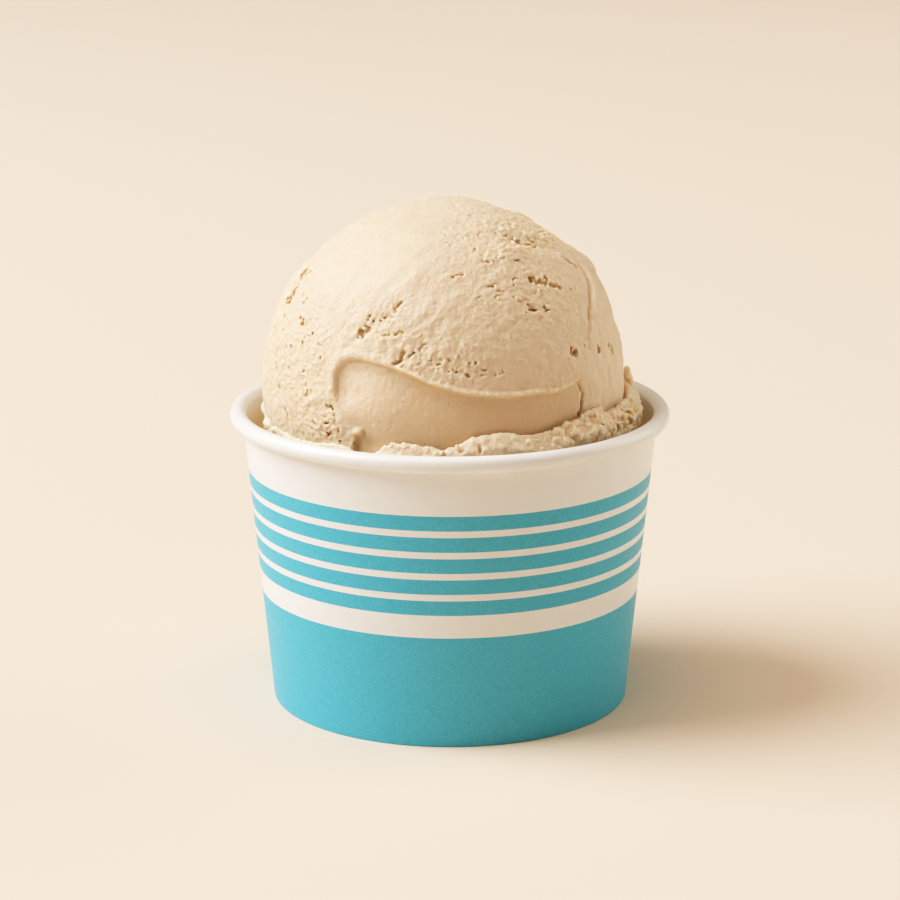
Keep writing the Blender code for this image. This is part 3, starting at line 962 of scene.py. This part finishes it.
def gelato_piece(name, mesh):
    piece = add_object(name, mesh, GELATO_FINISH)
    thinned(piece, TRIANGLES)
    largest_part(piece.data)
    piece.data.shade_smooth()
    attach(piece, BODY)
    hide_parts("gelato")
    return piece


def thinned(thing, triangles):
    """Brings a mesh down to so many triangles, keeping them where the surface is uneven."""
    ratio = triangles / (2.0 * len(thing.data.polygons))
    if ratio > 1.0:
        return
    modifier = thing.modifiers.new("thin", "DECIMATE")
    modifier.ratio = ratio
    evaluated = thing.evaluated_get(bpy.context.evaluated_depsgraph_get())
    mesh = bpy.data.meshes.new_from_object(evaluated)
    thing.modifiers.clear()
    old = thing.data
    thing.data = mesh
    bpy.data.meshes.remove(old)


def largest_part(mesh):
    """Removes crumbs that hang free of the rest, and hollows wholly inside it."""
    bm = bmesh.new()
    bm.from_mesh(mesh)
    bm.verts.index_update()
    seen = bytearray(len(bm.verts))
    parts = []
    for first in bm.verts:
        if seen[first.index]:
            continue
        seen[first.index] = 1
        part = [first]
        for vertex in part:
            for edge in vertex.link_edges:
                other = edge.other_vert(vertex)
                if not seen[other.index]:
                    seen[other.index] = 1
                    part.append(other)
        parts.append(part)
    parts.sort(key=len)
    bmesh.ops.delete(bm, geom=[vertex for part in parts[:-1] for vertex in part], context="VERTS")
    bm.to_mesh(mesh)
    bm.free()


def close_below(mesh):
    """Cuts the mesh level in the slit beside the wall, and closes it down to the cup's base."""
    bm = bmesh.new()
    bm.from_mesh(mesh)
    everything = bm.verts[:] + bm.edges[:] + bm.faces[:]
    cut = {"plane_co": (0, 0, FILL_CUT), "plane_no": (0, 0, 1), "clear_inner": True}
    bmesh.ops.bisect_plane(bm, geom=everything, **cut)
    edges = [edge for edge in bm.edges if edge.is_boundary]
    bottom = BASE_TOP + GAP
    corner = bottom + BASE_BEND
    inset = PAPER + GAP
    levels = ((wall_radius(corner) - inset, corner), (wall_radius(corner) - inset - BASE_BEND, bottom))
    for radius, height in levels:
        made = bmesh.ops.extrude_edge_only(bm, edges=edges)["geom"]
        for vertex in [item for item in made if isinstance(item, bmesh.types.BMVert)]:
            growth = radius / math.hypot(vertex.co.x, vertex.co.y)
            vertex.co = (vertex.co.x * growth, vertex.co.y * growth, height)
        edges = [item for item in made if isinstance(item, bmesh.types.BMEdge) and item.is_boundary]
    bmesh.ops.contextual_create(bm, geom=edges)
    bmesh.ops.recalc_face_normals(bm, faces=bm.faces)
    bm.to_mesh(mesh)
    bm.free()


# ---- materials

def node_material(name):
    material = bpy.data.materials.new(name)
    material.use_nodes = True
    tree = material.node_tree
    return material, tree, tree.nodes["Principled BSDF"]


def set_inputs(node, values):
    for key, value in values.items():
        node.inputs[key].default_value = value


def add_node(tree, kind, inputs=None, **settings):
    """Adds a node, sets its attributes and the default values of its inputs."""
    node = tree.nodes.new(kind)
    for key, value in settings.items():
        setattr(node, key, value)
    set_inputs(node, inputs or {})
    return node


def plain(name, colour, rough):
    material, tree, shader = node_material(name)
    set_inputs(shader, {"Base Color": (*colour, 1.0), "Roughness": rough})
    return material


def noise_at(tree, scale, detail=2.0, roughness=0.5):
    """Noise in the object's own space, of a scale in swells for each metre."""
    place = add_node(tree, "ShaderNodeTexCoord")
    inputs = {"Scale": scale, "Detail": detail, "Roughness": roughness}
    texture = add_node(tree, "ShaderNodeTexNoise", inputs)
    tree.links.new(place.outputs["Object"], texture.inputs["Vector"])
    return texture.outputs["Fac"]


def spread(tree, value, low, high, to_low=0.0, to_high=1.0):
    """Maps a value's range from low to high onto another range."""
    inputs = {"From Min": low, "From Max": high, "To Min": to_low, "To Max": to_high}
    node = add_node(tree, "ShaderNodeMapRange", inputs)
    tree.links.new(value, node.inputs["Value"])
    return node.outputs["Result"]


def mixed(tree, share, low, high):
    """A mix of two colours, each a tuple or another node's output."""
    node = add_node(tree, "ShaderNodeMix", data_type="RGBA")
    tree.links.new(share, node.inputs["Factor"])
    for socket, colour in ((node.inputs[6], low), (node.inputs[7], high)):
        if isinstance(colour, tuple):
            socket.default_value = (*colour, 1.0)
        else:
            tree.links.new(colour, socket)
    return node.outputs[2]


def bump(tree, shader, height, strength, distance):
    node = add_node(tree, "ShaderNodeBump", {"Strength": strength, "Distance": distance})
    tree.links.new(height, node.inputs["Height"])
    tree.links.new(node.outputs["Normal"], shader.inputs["Normal"])


def paper_material(name, painted_bounce_shade):
    """Coated white board: a faint mottle in its colour and a soft fibrous surface.

    The last argument is how much painted warm shade tints it, growing down from the rim: the shade in the
    slit and the light bounced into it off the gelato."""
    material, tree, shader = node_material(name)
    mottle = spread(tree, noise_at(tree, 260.0, 3.0), 0.3, 0.7)
    colour = mixed(tree, mottle, (0.826, 0.823, 0.789), (0.861, 0.858, 0.824))
    # painted warm shade: the board turns warmer and more orange down from the rim, for the shade in the slit
    # and light bounced off the gelato
    if painted_bounce_shade > 0.0:
        place = add_node(tree, "ShaderNodeTexCoord")
        axes = add_node(tree, "ShaderNodeSeparateXYZ")
        tree.links.new(place.outputs["Object"], axes.inputs[0])
        depth = spread(tree, axes.outputs["Z"], CUP_H - 0.0015, CUP_H - 0.0060, 0.0, painted_bounce_shade)
        colour = mixed(tree, depth, colour, (0.95, 0.80, 0.58))
    tree.links.new(colour, shader.inputs["Base Color"])
    set_inputs(shader, {"Roughness": 0.42, "Coat Weight": 0.5, "Coat Roughness": 0.25})
    set_inputs(shader, {"Subsurface Weight": 0.25, "Subsurface Scale": 0.0010})
    set_inputs(shader, {"Subsurface Radius": (1.0, 0.8, 0.6)})
    bump(tree, shader, noise_at(tree, 1500.0, 3.0, 0.6), 0.10, 0.00005)
    return material


def print_material():
    """Turquoise ink on the board, with the fine pale and dark grain of the fibres under it."""
    material, tree, shader = node_material("turquoise_ink")
    grain = noise_at(tree, 3400.0, 2.0, 0.6)
    pale = mixed(tree, spread(tree, grain, 0.50, 0.75), (0.048, 0.42, 0.580), (0.095, 0.49, 0.645))
    dark = mixed(tree, spread(tree, grain, 0.25, 0.46), (0.036, 0.36, 0.51), pale)
    tree.links.new(dark, shader.inputs["Base Color"])
    rough = spread(tree, noise_at(tree, 900.0), 0.3, 0.7, 0.46, 0.58)
    tree.links.new(rough, shader.inputs["Roughness"])
    set_inputs(shader, {"Coat Weight": 0.45, "Coat Roughness": 0.6})
    bump(tree, shader, grain, 0.12, 0.00005)
    return material


def attribute(tree, name):
    node = add_node(tree, "ShaderNodeAttribute", attribute_name=name)
    return node.outputs["Fac"]


def gelato_material():
    """Gelato, deeper and more orange where it is torn; paler on crests and thin edges as a painted
    highlight, and deeper and more orange in hollows as painted shade.
    """
    material, tree, shader = node_material("gelato")
    hollow = attribute(tree, "hollow")
    torn = attribute(tree, "torn")
    mottle = spread(tree, noise_at(tree, 420.0, 4.0, 0.6), 0.32, 0.68)
    colour = mixed(tree, mottle, (0.735, 0.571, 0.402), (0.785, 0.625, 0.456))
    colour = mixed(tree, attribute(tree, "swept"), colour, (0.69, 0.504, 0.326))
    colour = mixed(tree, spread(tree, torn, 0.15, 1.0, 0.0, 0.5), colour, (0.755, 0.57, 0.37))
    # painted highlight: crests and thin edges, where the hollow value is below 0, turn paler, as if catching
    # light
    colour = mixed(tree, spread(tree, hollow, -0.04, -0.22), colour, (0.86, 0.728, 0.535))
    # painted shade: hollows turn deeper and more orange, for their shade and the light bounced and scattered
    # inside them
    colour = mixed(tree, spread(tree, hollow, 0.03, 0.25), colour, (0.63, 0.418, 0.205))
    tree.links.new(colour, shader.inputs["Base Color"])
    set_inputs(shader, {"Roughness": 0.5, "Subsurface Weight": 0.60, "Subsurface Scale": 0.0012})
    set_inputs(shader, {"Subsurface Radius": (1.0, 0.55, 0.28)})
    grit = noise_at(tree, 1500.0, 4.0, 0.62)
    node = add_node(tree, "ShaderNodeMath", operation="MULTIPLY")
    tree.links.new(grit, node.inputs[0])
    tree.links.new(spread(tree, torn, 0.0, 0.14, 0.6, 1.0), node.inputs[1])
    bump(tree, shader, node.outputs["Value"], 0.9, 0.00035)
    return material


def add_object(name, mesh, *materials):
    thing = bpy.data.objects.new(name, mesh)
    for material in materials:
        mesh.materials.append(material)
    bpy.context.scene.collection.objects.link(thing)
    return thing


# ---- the stage

def floor():
    bpy.ops.mesh.primitive_circle_add(vertices=96, radius=FLOOR_R, fill_type="NGON")
    disc = bpy.context.object
    disc.name = "floor"
    disc.data.materials.append(plain("floor_paper", (0.765, 0.621, 0.487), 0.9))


def light(name, azimuth, elevation, size, power, colour):
    data = bpy.data.lights.new(name, "AREA")
    data.shape = "DISK"
    data.size = size
    data.energy = power
    data.color = colour
    lamp = bpy.data.objects.new(name, data)
    rise = math.radians(elevation)
    away = polar(LIGHT_DISTANCE * math.cos(rise), azimuth, LIGHT_DISTANCE * math.sin(rise))
    lamp.location = LIT_PLACE + away
    lamp.rotation_euler = (LIT_PLACE - lamp.location).to_track_quat("-Z", "Y").to_euler()
    bpy.context.scene.collection.objects.link(lamp)


def world():
    surroundings = bpy.data.worlds.new("studio")
    bpy.context.scene.world = surroundings
    surroundings.use_nodes = True
    background = surroundings.node_tree.nodes["Background"]
    set_inputs(background, {"Color": (*SURROUNDINGS, 1.0), "Strength": SURROUNDINGS_STRENGTH})


def camera():
    data = bpy.data.cameras.new("camera")
    data.lens = LENS
    data.sensor_width = SENSOR
    eye = bpy.data.objects.new("camera", data)
    eye.location = EYE
    eye.rotation_euler = (math.radians(90.0 - TILT), 0.0, 0.0)
    bpy.context.scene.collection.objects.link(eye)
    bpy.context.scene.camera = eye


def film_response():
    """Gives the picture a gentle toe and a soft shoulder, as film has."""
    settings = bpy.context.scene.view_settings
    settings.view_transform = "Standard"
    settings.use_curve_mapping = True
    mapping = settings.curve_mapping
    curve_points = mapping.curves[3].points
    for step in range(1, FILM_POINTS + 1):
        level = (step / FILM_POINTS) ** 2
        raised = (FILM_RANGE * level) ** FILM_CONTRAST
        shown = FILM_WHITE * raised / (raised + FILM_SHOULDER)
        if step < FILM_POINTS:
            curve_points.new(level, shown)
        else:
            curve_points[-1].location = (level, shown)
    mapping.update()


camera()
floor()
for row in LIGHTS:
    light(*row)
world()
film_response()
GELATO_FINISH = gelato_material()
cup()
scoop()
skirt()
